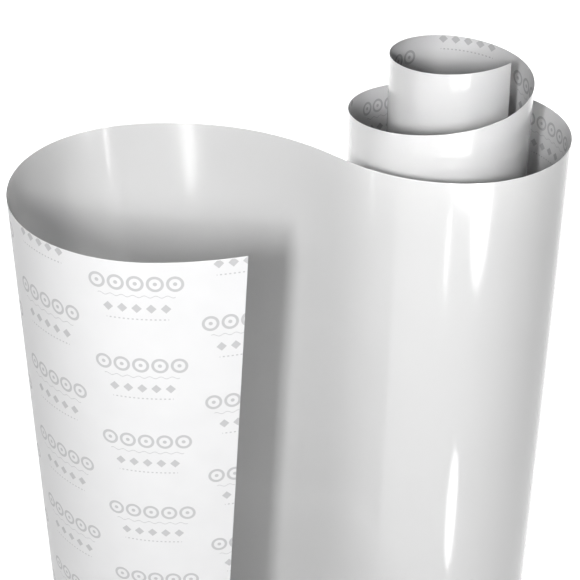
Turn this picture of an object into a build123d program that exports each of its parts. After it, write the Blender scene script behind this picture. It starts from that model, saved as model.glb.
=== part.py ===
from build123d import *
import os
from math import cos, degrees, radians, sin

os.makedirs("parts", exist_ok=True)

# The strip as it is sold: a 24 in web cut 6 ft long, printed vinyl on a release liner
strip_width = 609.6
strip_length = 1828.8    # along the top edge
film_thickness = 0.08
glue_thickness = 0.03
liner_thickness = 0.17

# How it lies, seen from above. The bend line is the face where glue meets liner, and each
# bend has a radius and an angle that it turns through, in degrees. From the free end the
# strip turns clockwise round the leader loop, then counterclockwise into the roll, a quarter
# turn at a time.
free_end_heading = 196.0
leader_radii = [264, 132, 107, 199, 294]
leader_angles = [15.5, 105.5, 65, 49.5, 8.5]
roll_radii = [137, 102, 103, 96, 84, 78, 72, 54, 53, 70]
roll_angles = [48, 90, 90, 90, 90, 90, 90, 90, 90, 45]

# The inner turns are drawn up by this height. The share of it reached at the end of each
# roll bend says how the strip's bottom edge climbs.
drawn_up = 71.0
climb_shares = [0, 0, 0, 0.25, 0.47, 0.73, 0.88, 0.92, 0.97, 1]

# The free end is cut by hand, a little out of square: its bottom corner lies this far back
# along the strip from its top one
free_end_cut = 42.0

# Spare sheet on the blanks that the slanted and end cuts trim
trim_allowance = 10.0


def along(heading):
    return Vector(cos(radians(heading)), sin(radians(heading)), 0)


def left_of(heading):
    return Vector(-sin(radians(heading)), cos(radians(heading)), 0)


class Bend:
    """One arc of the bend line, turning left (side 1) or right (side -1), climbing evenly."""

    def __init__(self, start, heading, radius, sweep, side, low, slope):
        self.start = start
        self.heading = heading
        self.radius = radius
        self.sweep = sweep
        self.side = side
        self.low = low
        self.slope = slope
        self.length = radius * radians(sweep)
        self.high = low + slope * self.length
        self.end_heading = heading + side * sweep
        self.centre = start + side * radius * left_of(heading)
        self.end = self.point(1)

    def point(self, share, right=0.0):
        """Point at a share of the sweep, shifted to the right of the bend line."""
        outward = left_of(self.heading + self.side * self.sweep * share)
        return self.centre - (self.side * self.radius + right) * outward

    def slanted(self, right, height):
        """Plane through both ends of the shifted arc, at a height above the bottom edge."""
        chord = self.point(1, right) - self.point(0, right) + Vector(0, 0, self.high - self.low)
        level = left_of(self.heading + self.side * self.sweep / 2)
        corner = self.point(0, right) + Vector(0, 0, self.low + height)
        return Plane(origin=corner, x_dir=level, z_dir=chord.cross(level))


def lay_out():
    """All bends, with the radii eased so that together they use up the strip exactly."""
    listed = [(radius, sweep, -1, 0) for radius, sweep in zip(leader_radii, leader_angles)]
    for radius, sweep, share in zip(roll_radii, roll_angles, climb_shares):
        listed.append((radius, sweep, 1, share * drawn_up))
    ease = strip_length / sum(radius * radians(sweep) for radius, sweep, side, high in listed)
    print("ease", round(ease, 5))
    bends = []
    start = Vector(0, 0, 0)
    heading = free_end_heading
    low = 0
    for radius, sweep, side, high in listed:
        slope = (high - low) / (ease * radius * radians(sweep))
        bend = Bend(start, heading, ease * radius, sweep, side, low, slope)
        bends.append(bend)
        start = bend.end
        heading = bend.end_heading
        low = high
    return bends


def wall(bend, right):
    """Upright face over one bend, between slanted edges one strip width apart."""
    arc = ThreePointArc(bend.point(0, right), bend.point(0.5, right), bend.point(1, right))
    foot = arc.moved(Location((0, 0, -trim_allowance)))
    face = Face.extrude(foot, Vector(0, 0, strip_width + bend.high + 2 * trim_allowance))
    face = face.split(bend.slanted(right, 0), keep=Keep.TOP)
    face = face.split(bend.slanted(right, strip_width), keep=Keep.BOTTOM)
    if bend is bends[0]:
        face = face.split(free_end_plane, keep=Keep.TOP)
    if bend is bends[-1]:
        face = face.split(inner_end_plane, keep=Keep.BOTTOM)
    return face


def free_edges(face):
    """The wall's rims, and its cut edge if it ends the strip: all but the upright joins."""
    return face.edges().filter_by(GeomType.LINE, reverse=True).sort_by(Axis.Z)


def closing(near_edge, far_edge):
    """Face between two matching edges: flat where they stand level, else slanted and ruled."""
    starts = Line(far_edge @ 0, near_edge @ 0)
    ends = Line(near_edge @ 1, far_edge @ 1)
    if near_edge.bounding_box().size.Z < 1e-6:
        return make_face([near_edge, ends, far_edge, starts]).face()
    return Face.make_surface_from_curves(near_edge, far_edge)


def layer(near, far):
    """One layer of the strip: two walls a layer apart, closed along their free edges."""
    faces = []
    for bend in bends:
        near_wall = wall(bend, near)
        far_wall = wall(bend, far)
        faces += [near_wall, far_wall]
        for near_edge, far_edge in zip(free_edges(near_wall), free_edges(far_wall)):
            faces.append(closing(near_edge, far_edge))
    return Solid(Shell(faces))


def lengthened(bend, before, after):
    """The same arc carried on past its ends by these lengths."""
    turn_before = degrees(before / bend.radius)
    turn_after = degrees(after / bend.radius)
    start = bend.point(-turn_before / bend.sweep)
    heading = bend.heading - bend.side * turn_before
    sweep = turn_before + bend.sweep + turn_after
    return Bend(start, heading, bend.radius, sweep, bend.side, bend.low - bend.slope * before, bend.slope)


bends = lay_out()
first = bends[0]
last = bends[-1]

# Planes of the two cut ends, each through its top corner; the inner end is square to the climb
free_end_plane = Plane(
    origin=first.start + Vector(0, 0, strip_width),
    z_dir=strip_width * along(first.heading) + Vector(0, 0, free_end_cut),
)
inner_end_plane = Plane(
    origin=last.end + Vector(0, 0, last.high + strip_width),
    z_dir=along(last.end_heading) + Vector(0, 0, last.slope),
)
bends[0] = lengthened(first, trim_allowance, 0)
bends[-1] = lengthened(last, 0, last.slope * strip_width + trim_allowance)

glue_face = glue_thickness
film_face = glue_thickness + film_thickness
nodes = {
    "release_liner": layer(-liner_thickness, 0),
    "adhesive_layer": layer(0, glue_face),
    "face_film": layer(glue_face, film_face),
}

# The origin is on the floor under the middle of the bounding box
box = Compound(list(nodes.values())).bounding_box()
home = Location((-box.center().X, -box.center().Y, 0))
for name, shape in nodes.items():
    placed = home * shape
    export_step(placed, f"parts/{name}.step")
    print(name, "solids", len(placed.solids()), "faces", len(placed.faces()), "volume", round(placed.volume))
print("start of the bend line", home.position, "size", box.size)
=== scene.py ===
import math

import bpy
import mathutils
import numpy as np
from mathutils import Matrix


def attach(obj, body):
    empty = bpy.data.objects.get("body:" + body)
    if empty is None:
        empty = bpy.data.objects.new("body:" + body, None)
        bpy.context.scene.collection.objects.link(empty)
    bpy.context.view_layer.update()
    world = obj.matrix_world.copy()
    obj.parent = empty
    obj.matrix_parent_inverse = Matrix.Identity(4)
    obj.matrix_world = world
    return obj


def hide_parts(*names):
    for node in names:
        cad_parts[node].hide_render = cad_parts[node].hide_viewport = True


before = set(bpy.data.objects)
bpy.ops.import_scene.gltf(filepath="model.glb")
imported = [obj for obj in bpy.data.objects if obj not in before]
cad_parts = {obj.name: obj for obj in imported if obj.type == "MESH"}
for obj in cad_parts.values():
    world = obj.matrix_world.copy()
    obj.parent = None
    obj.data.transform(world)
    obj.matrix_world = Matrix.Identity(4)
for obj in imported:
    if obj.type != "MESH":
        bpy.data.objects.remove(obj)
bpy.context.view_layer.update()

print("frame loaded")

# A 24 in by 6 ft strip of printed vinyl stands on its long edge. From its free end it curls
# clockwise round the leader, and then it winds counterclockwise into the roll.
strip = {
    "width": 0.6096,
    "length": 1.8288,
    "freeEndHeading": 196.0,     # degrees, 0 along +X
    "bends": [                   # degrees to the left, radius
        (-15.5, 0.264), (-105.5, 0.132), (-65, 0.107), (-49.5, 0.199), (-8.5, 0.294),
        (48, 0.137), (90, 0.102), (90, 0.103), (90, 0.096), (90, 0.084),
        (90, 0.078), (90, 0.072), (90, 0.054), (90, 0.053), (45, 0.070),
    ],
    "drawnUp": 0.071,            # height of the inner end above the floor
    "climbShares": [0, 0, 0, 0, 0, 0, 0, 0, 0.25, 0.47, 0.73, 0.88, 0.92, 0.97, 1],
    "freeEndCut": 0.042,         # bottom corner back along the strip from the top one
    "bendEasing": 0.048,         # length over which one curvature runs into the next
    "riseEasing": 0.108,
    "step": 0.0005,              # spacing of the worked-out bend line
    "runOn": 2.0,                # line kept past the end, in times what the slanted end needs
    "sharpAngle": 40.0,          # edges bent by more than this stay crisp
}


# Mean over a window centred on each value, with the end values carried on outward.
def runningMean(values, length):
    half = int(round(length / strip["step"] / 2))
    padded = np.pad(values, half, mode="edge")
    sums = np.cumsum(np.insert(padded, 0, 0.0))
    return (sums[2 * half + 1:] - sums[:-2 * half - 1]) / (2 * half + 1)


# Area under the values up to each one, by the trapezium rule.
def runningSum(values):
    return np.concatenate([[0.0], np.cumsum((values[1:] + values[:-1]) / 2 * strip["step"])])


# Seen from above: curvature is a staircase of 1 / radius, smoothed. Heading is its running sum,
# and the line is the running sum of the heading's direction. The bottom edge's height climbs
# evenly over each bend, smoothed too, and runs on past the end at its last slope.
def bendLine():
    turns = np.radians([turn for turn, radius in strip["bends"]])
    lengths = np.abs(turns) * np.array([radius for turn, radius in strip["bends"]])
    lengths *= strip["length"] / lengths.sum()
    ends = np.cumsum(lengths)
    rises = strip["drawnUp"] * np.array([0, *strip["climbShares"]])
    lastSlope = (rises[-1] - rises[-2]) / lengths[-1]
    runOn = strip["runOn"] * lastSlope * strip["width"]
    s = np.arange(0, strip["length"] + runOn, strip["step"])
    bend = np.minimum(np.searchsorted(ends, s, side="right"), len(ends) - 1)
    curvature = runningMean((turns / lengths)[bend], strip["bendEasing"])
    heading = math.radians(strip["freeEndHeading"]) + runningSum(curvature)
    x = runningSum(np.cos(heading))
    y = runningSum(np.sin(heading))
    climb = np.interp(s, np.append(0, ends), rises)
    climb += np.maximum(s - strip["length"], 0) * lastSlope
    rise = runningMean(climb, strip["riseEasing"])
    x -= (x.min() + x.max()) / 2
    y -= (y.min() + y.max()) / 2
    return {"s": s, "x": x, "y": y, "heading": heading, "rise": rise, "lastSlope": lastSlope}


line = bendLine()
print("bend line", len(line["s"]), "points")


# Point at s along the strip and at a share of its width up, shifted to the right of the bend
# line: line(s) + right * side(s) + up * (rise(s) + width * share).
def stripPoint(s, share, right):
    heading = np.interp(s, line["s"], line["heading"])
    x = np.interp(s, line["s"], line["x"]) + right * np.sin(heading)
    y = np.interp(s, line["s"], line["y"]) - right * np.cos(heading)
    z = np.interp(s, line["s"], line["rise"]) + strip["width"] * share
    return np.stack([x, y, z], axis=-1)


# Distance along the strip at a share of its length, on the line at a share of its width. The
# free end slants by its cut, and the inner end is square to its climb.
def alongStrip(lengthShare, widthShare):
    first = strip["freeEndCut"] * (1 - widthShare)
    final = strip["length"] + line["lastSlope"] * strip["width"] * (1 - widthShare)
    return first + (final - first) * lengthShare


# A closed shell: a ring (near face going up, far face coming down) carried along the strip, with
# both ends closed. The UV map is (distance along, distance across) in metres.
def layerMesh(name, layer):
    lengthShare = np.linspace(0, 1, layer["along"])
    up = np.linspace(0, 1, layer["across"])
    widthShare = np.concatenate([up, up[::-1]])
    right = np.repeat([layer["near"], layer["far"]], layer["across"])
    s = alongStrip(lengthShare[:, None], widthShare[None, :])
    points = stripPoint(s, widthShare[None, :], right[None, :])
    rows, ring = len(lengthShare), len(widthShare)
    i = np.arange(rows - 1)[:, None]
    j = np.arange(ring)[None, :]
    k = (j + 1) % ring
    quads = np.stack([i * ring + j, i * ring + k, (i + 1) * ring + k, (i + 1) * ring + j], axis=-1)
    j = np.arange(layer["across"] - 1)
    cap = np.stack([ring - 1 - j, ring - 2 - j, j + 1, j], axis=-1)
    quads = np.concatenate([quads.reshape(-1, 4), cap, cap[:, ::-1] + (rows - 1) * ring])
    mesh = bpy.data.meshes.new(name)
    mesh.vertices.add(rows * ring)
    mesh.vertices.foreach_set("co", points.reshape(-1))
    mesh.loops.add(quads.size)
    mesh.loops.foreach_set("vertex_index", quads.reshape(-1))
    mesh.polygons.add(len(quads))
    mesh.polygons.foreach_set("loop_start", np.arange(len(quads)) * 4)
    mesh.polygons.foreach_set("use_smooth", np.ones(len(quads), bool))
    uv = mesh.uv_layers.new(name="stripUV")
    place = np.stack([s, strip["width"] * np.broadcast_to(widthShare, s.shape)], axis=-1).reshape(-1, 2)
    uv.data.foreach_set("uv", place[quads.reshape(-1)].reshape(-1))
    mesh.update(calc_edges=True)
    mesh.set_sharp_from_angle(angle=math.radians(strip["sharpAngle"]))
    piece = bpy.data.objects.new(name, mesh)
    bpy.context.collection.objects.link(piece)
    return piece


# One Math node of that operation. An input may be a number or another node's output.
def math2(tree, operation, a, b=None, clamp=False):
    node = tree.nodes.new("ShaderNodeMath")
    node.operation = operation
    node.use_clamp = clamp
    for socket, value in zip(node.inputs, (a, b)):
        if value is not None:
            giveInput(tree, socket, value)
    return node.outputs[0]


def giveInput(tree, socket, value):
    if isinstance(value, bpy.types.NodeSocket):
        tree.links.new(value, socket)
    else:
        socket.default_value = value


# A shader node group whose inputs are (name, kind, default) and outputs (name, kind).
def newGroup(name, inputs, outputs):
    group = bpy.data.node_groups.new(name, "ShaderNodeTree")
    for label, kind, default in inputs:
        socket = group.interface.new_socket(label, in_out="INPUT", socket_type="NodeSocket" + kind)
        if default is not None:
            socket.default_value = default
    for label, kind in outputs:
        group.interface.new_socket(label, in_out="OUTPUT", socket_type="NodeSocket" + kind)
    return group, group.nodes.new("NodeGroupInput").outputs, group.nodes.new("NodeGroupOutput").inputs


def placeGroup(tree, group, values):
    node = tree.nodes.new("ShaderNodeGroup")
    node.node_tree = group
    for label, value in values.items():
        giveInput(tree, node.inputs[label], value)
    return node.outputs


# 1 where |value| is under halfWidth, falling to 0 over the softness.
def band(tree, value, halfWidth, softness=0.00012):
    edge = math2(tree, "SUBTRACT", halfWidth, math2(tree, "ABSOLUTE", value))
    return math2(tree, "DIVIDE", edge, softness, clamp=True)


# Distance from the middle of the nearest cell of that pitch.
def wrapped(tree, value, pitch):
    cell = math2(tree, "ADD", math2(tree, "DIVIDE", value, pitch), 0.5)
    return math2(tree, "MULTIPLY", math2(tree, "SUBTRACT", math2(tree, "FRACT", cell), 0.5), pitch)


grainDetail = {"fine": 2.0, "slow": 1.0}


# Height and tone of a surface: fine noise plus a share of slow noise, and the slow noise alone.
def makeSurfaceGrain():
    group, given, out = newGroup(
        "surfaceGrain",
        [("Vector", "Vector", None), ("Fine scale", "Float", 900.0), ("Long scale", "Float", 9.0),
         ("Long share", "Float", 0.5)],
        [("Height", "Float"), ("Tone", "Float")],
    )
    fine = group.nodes.new("ShaderNodeTexNoise")
    fine.inputs["Detail"].default_value = grainDetail["fine"]
    slow = group.nodes.new("ShaderNodeTexNoise")
    slow.inputs["Detail"].default_value = grainDetail["slow"]
    group.links.new(given["Vector"], fine.inputs["Vector"])
    group.links.new(given["Vector"], slow.inputs["Vector"])
    group.links.new(given["Fine scale"], fine.inputs["Scale"])
    group.links.new(given["Long scale"], slow.inputs["Scale"])
    longPart = math2(group, "MULTIPLY", slow.outputs["Fac"], given["Long share"])
    group.links.new(math2(group, "ADD", fine.outputs["Fac"], longPart), out["Height"])
    group.links.new(slow.outputs["Fac"], out["Tone"])
    return group


# Mask for the painted rim highlight: 1 at the strip's two slit edges, fading to 0 at Reach metres from
# them.
def makePaintedRimMask():
    group, given, out = newGroup(
        "paintedRimMask",
        [("Vector", "Vector", None), ("Reach", "Float", 0.001)],
        [("Mask", "Float")],
    )
    parts = group.nodes.new("ShaderNodeSeparateXYZ")
    group.links.new(given["Vector"], parts.inputs["Vector"])
    toTop = math2(group, "SUBTRACT", strip["width"], parts.outputs["Y"])
    nearest = math2(group, "MINIMUM", toTop, parts.outputs["Y"])
    fade = math2(group, "DIVIDE", nearest, given["Reach"], clamp=True)
    group.links.new(math2(group, "SUBTRACT", 1.0, fade), out["Mask"])
    return group


surfaceGrain = makeSurfaceGrain()
paintedRimMask = makePaintedRimMask()
print("shared effects ready")


def startMaterial(name):
    material = bpy.data.materials.new(name)
    material.use_nodes = True
    tree = material.node_tree
    uv = tree.nodes.new("ShaderNodeUVMap")
    uv.uv_map = "stripUV"
    place = tree.nodes.new("ShaderNodeTexCoord").outputs["Object"]
    return material, tree, tree.nodes["Principled BSDF"], uv.outputs["UV"], place


# Colour that runs from low to high over the middle of a noise, where nearly all of it lies.
def toneRamp(tree, tone, low, high, start=0.3, stop=0.7):
    node = tree.nodes.new("ShaderNodeValToRGB")
    node.color_ramp.elements[0].position = start
    node.color_ramp.elements[1].position = stop
    node.color_ramp.elements[0].color = (*low, 1)
    node.color_ramp.elements[1].color = (*high, 1)
    tree.links.new(tone, node.inputs["Fac"])
    return node.outputs["Color"]


# Value that runs from low to high as the noise runs from 0 to 1.
def noiseRange(tree, tone, low, high):
    node = tree.nodes.new("ShaderNodeMapRange")
    node.inputs["To Min"].default_value = low
    node.inputs["To Max"].default_value = high
    tree.links.new(tone, node.inputs["Value"])
    return node.outputs["Result"]


# From a to b by the factor. A Mix node has its colour sockets at 0 (factor), 6 and 7, and 2 out.
def mixColour(tree, factor, a, b):
    node = tree.nodes.new("ShaderNodeMix")
    node.data_type = "RGBA"
    for socket, value in ((node.inputs[0], factor), (node.inputs[6], a), (node.inputs[7], b)):
        giveInput(tree, socket, value)
    return node.outputs[2]


def bump(tree, height, distance):
    node = tree.nodes.new("ShaderNodeBump")
    node.inputs["Distance"].default_value = distance
    tree.links.new(height, node.inputs["Height"])
    return node.outputs["Normal"]


# Makes one layer of the strip, gives it its finish in a material slot, hangs it on the root body and hides
# the CAD part it replaces.
def makeLayer(name, layer, material):
    piece = layerMesh(name, layer)
    piece.data.materials.append(material)
    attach(piece, "root")
    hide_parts(layer["node"])
    print(name, len(piece.data.polygons), "faces")


# The gloss film is the outside of the roll and the inside of the leader's loop. Its faces are
# placed by their distance to the right of the bend line, as in each layer.
vinylFilm = {
    "node": "face_film", "slot": "gloss_vinyl",
    "near": 0.00003, "far": 0.00011, "along": 800, "across": 25,
    "white": (0.79, 0.79, 0.79), "whiteLow": (0.775, 0.775, 0.775),
    # Near white within the reach of both slit edges is a painted highlight along the rims.
    "paintedRimHighlight": (0.97, 0.97, 0.97, 1), "paintedRimReach": 0.001,
    "glossiest": 0.10, "dullest": 0.16, "refraction": 1.5,
    "peelScale": 700.0, "waveScale": 11.0, "peelHeight": 0.000004,
}


def makeGlossFilm():
    material, tree, shader, uv, place = startMaterial("glossVinyl")
    film = vinylFilm
    grain = placeGroup(tree, surfaceGrain, {
        "Vector": place, "Fine scale": film["peelScale"], "Long scale": film["waveScale"]})
    edge = placeGroup(tree, paintedRimMask, {"Vector": uv, "Reach": film["paintedRimReach"]})
    tone = toneRamp(tree, grain["Tone"], film["whiteLow"], film["white"])
    # Along both slit edges the colour is lifted to near white, a painted rim highlight.
    tree.links.new(mixColour(tree, edge["Mask"], tone, film["paintedRimHighlight"]), shader.inputs["Base Color"])
    roughness = noiseRange(tree, grain["Tone"], film["glossiest"], film["dullest"])
    tree.links.new(roughness, shader.inputs["Roughness"])
    tree.links.new(bump(tree, grain["Height"], film["peelHeight"]), shader.inputs["Normal"])
    shader.inputs["IOR"].default_value = film["refraction"]
    return material


makeLayer("vinylFilm", vinylFilm, makeGlossFilm())

# The adhesive coat shows only at the slit edges.
adhesiveCoat = {
    "node": "adhesive_layer", "slot": "adhesive",
    "near": 0.0, "far": 0.00003, "along": 800, "across": 25,
    "pale": (0.72, 0.72, 0.70), "dark": (0.62, 0.62, 0.60), "roughness": 0.3,
    "fineScale": 1200.0, "cloudScale": 60.0, "ripple": 0.00001,
}


def makeClearAdhesive():
    material, tree, shader, uv, place = startMaterial("clearAdhesive")
    glue = adhesiveCoat
    grain = placeGroup(tree, surfaceGrain, {
        "Vector": place, "Fine scale": glue["fineScale"], "Long scale": glue["cloudScale"]})
    tone = toneRamp(tree, grain["Tone"], glue["dark"], glue["pale"])
    tree.links.new(tone, shader.inputs["Base Color"])
    tree.links.new(bump(tree, grain["Height"], glue["ripple"]), shader.inputs["Normal"])
    shader.inputs["Roughness"].default_value = glue["roughness"]
    return material


makeLayer("adhesiveCoat", adhesiveCoat, makeClearAdhesive())

# The liner is the inside of the roll and the outside of the leader, with a pale printed repeat.
backingPaper = {
    "node": "release_liner", "slot": "liner_paper",
    "near": -0.00017, "far": 0.0, "along": 800, "across": 25,
    "white": (0.80, 0.80, 0.805), "whiteLow": (0.78, 0.78, 0.785),
    "ink": (0.46, 0.46, 0.47, 1), "coverage": 0.8,
    # Near white within the reach of both slit edges is a painted highlight along the rims.
    "paintedRimHighlight": (0.97, 0.97, 0.97, 1), "paintedRimReach": 0.001,
    "smoothest": 0.38, "roughest": 0.5,
    "fibreScale": 1500.0, "cloudScale": 40.0, "fibreHeight": 0.00001,
}
linerPrint = {
    "columnPitch": 0.088,        # along the strip
    "rowPitch": 0.0762,          # across it, every second column half a row up
    "marksEachSide": 2.5,        # rings and diamonds each side of a cell's middle
    "ringUp": 0.019, "ringPitch": 0.0155, "ringRadius": 0.0058, "ringLine": 0.0012, "dotRadius": 0.0017,
    "waveUp": 0.0075, "waveLength": 0.009, "waveHeight": 0.0009, "waveLine": 0.00035, "waveHalf": 0.031,
    "diamondUp": -0.0035, "diamondPitch": 0.0115, "diamondHalf": 0.0042,
    "tickUp": -0.0135, "tickPitch": 0.0036, "tickWide": 0.0009, "tickHigh": 0.0006, "tickHalf": 0.025,
}


# Ink mask of a staggered repeat. Each cell has, one above the other, a row of rings with dots, a
# wavy line, a row of diamonds and a row of short ticks. A ring is | distance from its middle -
# radius | under its line, a wave is | up - height * sin(along) | under its line, and a diamond
# is | along | + | up | under its half size.
def makeLinerPrint():
    group, given, out = newGroup("linerPrint", [("Vector", "Vector", None)], [("Mask", "Float")])
    p = linerPrint
    parts = group.nodes.new("ShaderNodeSeparateXYZ")
    group.links.new(given["Vector"], parts.inputs["Vector"])
    u, v = parts.outputs["X"], parts.outputs["Y"]
    column = math2(group, "FLOOR", math2(group, "ADD", math2(group, "DIVIDE", u, p["columnPitch"]), 0.5))
    odd = math2(group, "MODULO", column, 2)
    across = math2(group, "ADD", v, math2(group, "MULTIPLY", odd, p["rowPitch"] / 2))
    x = wrapped(group, u, p["columnPitch"])
    y = wrapped(group, across, p["rowPitch"])

    def above(height):
        return math2(group, "SUBTRACT", y, height)

    def inRow(mask, halfLength):
        return math2(group, "MULTIPLY", mask, band(group, x, halfLength))

    ringX = wrapped(group, x, p["ringPitch"])
    ringY = above(p["ringUp"])
    squares = [math2(group, "MULTIPLY", side, side) for side in (ringX, ringY)]
    radius = math2(group, "SQRT", math2(group, "ADD", *squares))
    rings = band(group, math2(group, "SUBTRACT", radius, p["ringRadius"]), p["ringLine"])
    dots = band(group, radius, p["dotRadius"])
    ringRow = inRow(math2(group, "MAXIMUM", rings, dots), p["marksEachSide"] * p["ringPitch"])

    angle = math2(group, "MULTIPLY", x, 2 * math.pi / p["waveLength"])
    wave = math2(group, "MULTIPLY", math2(group, "SINE", angle), p["waveHeight"])
    offWave = math2(group, "SUBTRACT", above(p["waveUp"]), wave)
    waveRow = inRow(band(group, offWave, p["waveLine"]), p["waveHalf"])

    sides = [math2(group, "ABSOLUTE", side) for side in (wrapped(group, x, p["diamondPitch"]),
                                                         above(p["diamondUp"]))]
    diamonds = band(group, math2(group, "ADD", *sides), p["diamondHalf"])
    diamondRow = inRow(diamonds, p["marksEachSide"] * p["diamondPitch"])

    ticks = math2(group, "MULTIPLY", band(group, wrapped(group, x, p["tickPitch"]), p["tickWide"]),
                  band(group, above(p["tickUp"]), p["tickHigh"]))
    tickRow = inRow(ticks, p["tickHalf"])

    ink = ringRow
    for row in (waveRow, diamondRow, tickRow):
        ink = math2(group, "MAXIMUM", ink, row)
    group.links.new(ink, out["Mask"])
    return group


def makeLinerPaper():
    material, tree, shader, uv, place = startMaterial("linerPaper")
    paper = backingPaper
    grain = placeGroup(tree, surfaceGrain, {
        "Vector": place, "Fine scale": paper["fibreScale"], "Long scale": paper["cloudScale"]})
    edge = placeGroup(tree, paintedRimMask, {"Vector": uv, "Reach": paper["paintedRimReach"]})
    ink = placeGroup(tree, makeLinerPrint(), {"Vector": uv})
    plain = toneRamp(tree, grain["Tone"], paper["whiteLow"], paper["white"])
    coverage = math2(tree, "MULTIPLY", ink["Mask"], paper["coverage"])
    printed = mixColour(tree, coverage, plain, paper["ink"])
    # Along both slit edges the printed colour is lifted to near white, a painted rim highlight.
    tree.links.new(mixColour(tree, edge["Mask"], printed, paper["paintedRimHighlight"]), shader.inputs["Base Color"])
    roughness = noiseRange(tree, grain["Tone"], paper["smoothest"], paper["roughest"])
    tree.links.new(roughness, shader.inputs["Roughness"])
    tree.links.new(bump(tree, grain["Height"], paper["fibreHeight"]), shader.inputs["Normal"])
    return material


makeLayer("backingPaper", backingPaper, makeLinerPaper())


# 1 for rays from the camera, off gloss and through glass, else 0.
def seenDirectly(tree):
    path = tree.nodes.new("ShaderNodeLightPath")
    seen = math2(tree, "MAXIMUM", path.outputs["Is Camera Ray"], path.outputs["Is Glossy Ray"])
    return math2(tree, "MAXIMUM", seen, path.outputs["Is Transmission Ray"])


floorPlane = {
    "half": 4.0, "drop": 0.0002, "grey": 0.8, "roughness": 0.9, "glow": 0.96,
    "objectHalf": (0.243, 0.166),    # the object's half size, which sizes the painted shade left round its foot
    "glowFrom": 0.8, "glowOver": 0.5,
}


# The floor glows white where it is seen. Under the object and round it the glow is left out, so the floor
# there shows its real shadow plus a painted shade, darker near the object's foot:
# the glow is 0 up to glowFrom object sizes from the middle and whole glowOver sizes further out.
def makeFloor():
    half, low, grey = floorPlane["half"], -floorPlane["drop"], floorPlane["grey"]
    mesh = bpy.data.meshes.new("studioFloor")
    corners = [(-half, -half, low), (half, -half, low), (half, half, low), (-half, half, low)]
    mesh.from_pydata(corners, [], [(0, 1, 2, 3)])
    floor = bpy.data.objects.new("studioFloor", mesh)
    bpy.context.collection.objects.link(floor)
    material = bpy.data.materials.new("paleFloor")
    material.use_nodes = True
    tree = material.node_tree
    shader = tree.nodes["Principled BSDF"]
    shader.inputs["Base Color"].default_value = (grey, grey, grey, 1)
    shader.inputs["Roughness"].default_value = floorPlane["roughness"]
    shader.inputs["Specular IOR Level"].default_value = 0.0
    shader.inputs["Emission Color"].default_value = (1, 1, 1, 1)
    parts = tree.nodes.new("ShaderNodeSeparateXYZ")
    tree.links.new(tree.nodes.new("ShaderNodeTexCoord").outputs["Object"], parts.inputs["Vector"])
    sizes = [math2(tree, "DIVIDE", math2(tree, "ABSOLUTE", parts.outputs[axis]), objectHalf)
             for axis, objectHalf in zip("XY", floorPlane["objectHalf"])]
    away = math2(tree, "SQRT", math2(tree, "ADD", *[math2(tree, "POWER", size, 2) for size in sizes]))
    beyond = math2(tree, "SUBTRACT", away, floorPlane["glowFrom"])
    # Painted shade: the glow fades out towards the object, so the floor is darker round its foot.
    clear = math2(tree, "DIVIDE", beyond, floorPlane["glowOver"], clamp=True)
    glow = math2(tree, "MULTIPLY", math2(tree, "MULTIPLY", seenDirectly(tree), clear), floorPlane["glow"])
    tree.links.new(glow, shader.inputs["Emission Strength"])
    mesh.materials.append(material)


# White behind the object, which lights nothing.
def makeWorld():
    world = bpy.data.worlds.new("whiteStudio")
    bpy.context.scene.world = world
    world.use_nodes = True
    tree = world.node_tree
    background = tree.nodes["Background"]
    background.inputs["Color"].default_value = (1, 1, 1, 1)
    tree.links.new(seenDirectly(tree), background.inputs["Strength"])


# A lamp at a place, with its -Z towards the point it faces and its +Y up.
def addLamp(name, shape, place, facing, width, height, watts):
    data = bpy.data.lights.new(name, "AREA")
    data.shape = shape
    data.size = width
    data.size_y = height
    data.energy = watts
    lamp = bpy.data.objects.new(name, data)
    bpy.context.collection.objects.link(lamp)
    lamp.visible_camera = False
    lamp.location = place
    away = mathutils.Vector(place) - mathutils.Vector(facing)
    lamp.rotation_euler = away.to_track_quat("Z", "Y").to_euler()
    return lamp


softBoxFacing = (0.0, 0.0, 0.45)
softBoxes = {    # azimuth and elevation from the point faced, 0 on the camera's side; distance,
                 # width, height, watts
    "keyStrip": (-10.5, 28.5, 1.52, 0.09, 0.22, 12.2),
    "leftBox": (-22, 27, 1.6, 0.6, 0.2, 1.3),
    "frontBox": (-7, 22, 2.2, 0.5, 0.2, 7.0),
    "lowRightBox": (30, 4, 2.4, 0.6, 0.3, 7.5),
    "lowLeftBox": (-25, 4, 2.4, 0.6, 0.3, 3.2),
    "backLeftBox": (-150, 4, 2.4, 0.6, 0.3, 24.0),
    "backRightBox": (150, 4, 2.4, 0.6, 0.3, 24.0),
}


# Place = point faced + distance * (sin azimuth * cos elevation, -cos azimuth * cos elevation,
# sin elevation).
def makeSoftBoxes():
    for name, (azimuth, elevation, distance, width, height, watts) in softBoxes.items():
        a, e = math.radians(azimuth), math.radians(elevation)
        out = (math.sin(a) * math.cos(e), -math.cos(a) * math.cos(e), math.sin(e))
        place = [middle + distance * part for middle, part in zip(softBoxFacing, out)]
        addLamp(name, "RECTANGLE", place, softBoxFacing, width, height, watts)


coilBox = {      # a narrow beam on the turns that stand above the roll
    "place": (0.06, -0.80, 0.84), "facing": (0.13, -0.05, 0.66), "width": 0.24, "height": 0.08,
    "spread": 12.0, "watts": 0.018,
}


def makeCoilBox():
    box = addLamp("coilBox", "RECTANGLE", coilBox["place"], coilBox["facing"], coilBox["width"],
                  coilBox["height"], coilBox["watts"])
    box.data.spread = math.radians(coilBox["spread"])
    box.visible_glossy = False


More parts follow.
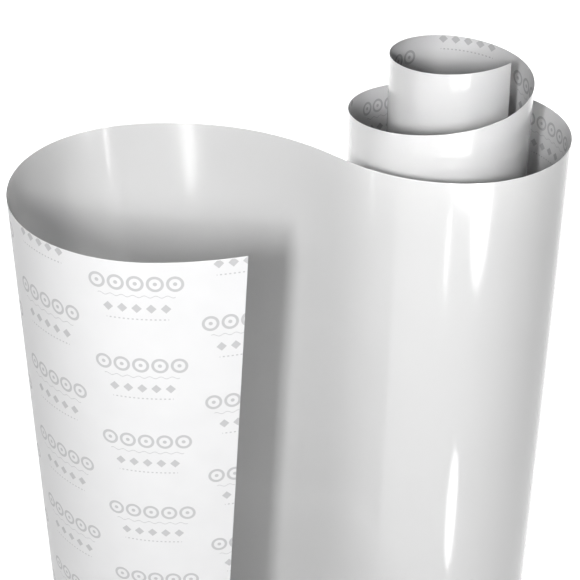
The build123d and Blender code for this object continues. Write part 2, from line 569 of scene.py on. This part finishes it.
view = {"place": (-0.0080, -1.0869, 1.16046), "pitch": 32.0, "roll": -0.2,    # degrees
        "lens": 87.89, "sensor": 36.0, "clipStart": 0.01}

glossCards = {   # metres along the strip, share of its width up, distance out; width, height, watts
    "rollWedge": (0.779, 0.987, 0.295, 0.118, 0.24, 0.62),
    "rollFoot": (0.772, 0.415, 0.149, 0.036, 0.17, 0.14),
    "secondTurn": (1.373, 0.956, 0.292, 0.165, 0.05, 0.17),
    "innerTurn": (1.774, 0.987, 0.300, 0.078, 0.05, 0.06),
    "mouthStrip": (0.415, 0.99, 0.50, 0.018, 0.11, 0.065),
    "leaderStrip": (0.490, 0.99, 0.20, 0.007, 0.15, 0.042),
}


# Cards that show only in the gloss, as soft streaks. Each stands upright where the line of sight
# to a point of the film is mirrored to: ray - 2 * (ray . normal) * normal, at its distance out.
def makeGlossCards():
    for name, (s, share, distance, width, height, watts) in glossCards.items():
        point = stripPoint(s, share, vinylFilm["far"])
        heading = np.interp(s, line["s"], line["heading"])
        normal = np.array([np.sin(heading), -np.cos(heading), 0.0])
        ray = point - np.array(view["place"])
        mirrored = ray - 2 * (ray @ normal) * normal
        place = point + distance * mirrored / np.hypot(mirrored[0], mirrored[1])
        facing = (point[0], point[1], place[2])
        card = addLamp(name, "ELLIPSE", place, facing, width, height, watts)
        card.data.use_shadow = False
        card.visible_diffuse = False
        card.visible_transmission = False


def makeCamera():
    data = bpy.data.cameras.new("mainCamera")
    data.lens = view["lens"]
    data.sensor_width = view["sensor"]
    data.clip_start = view["clipStart"]
    camera = bpy.data.objects.new("mainCamera", data)
    bpy.context.collection.objects.link(camera)
    camera.location = view["place"]
    tilt = mathutils.Matrix.Rotation(math.radians(90 - view["pitch"]), 3, "X")
    roll = mathutils.Matrix.Rotation(math.radians(view["roll"]), 3, "Z")
    camera.rotation_euler = (tilt @ roll).to_euler()
    bpy.context.scene.camera = camera


makeFloor()
makeWorld()
makeSoftBoxes()
makeCoilBox()
makeGlossCards()
makeCamera()
bpy.context.scene.view_settings.view_transform = "Standard"
print("studio ready")
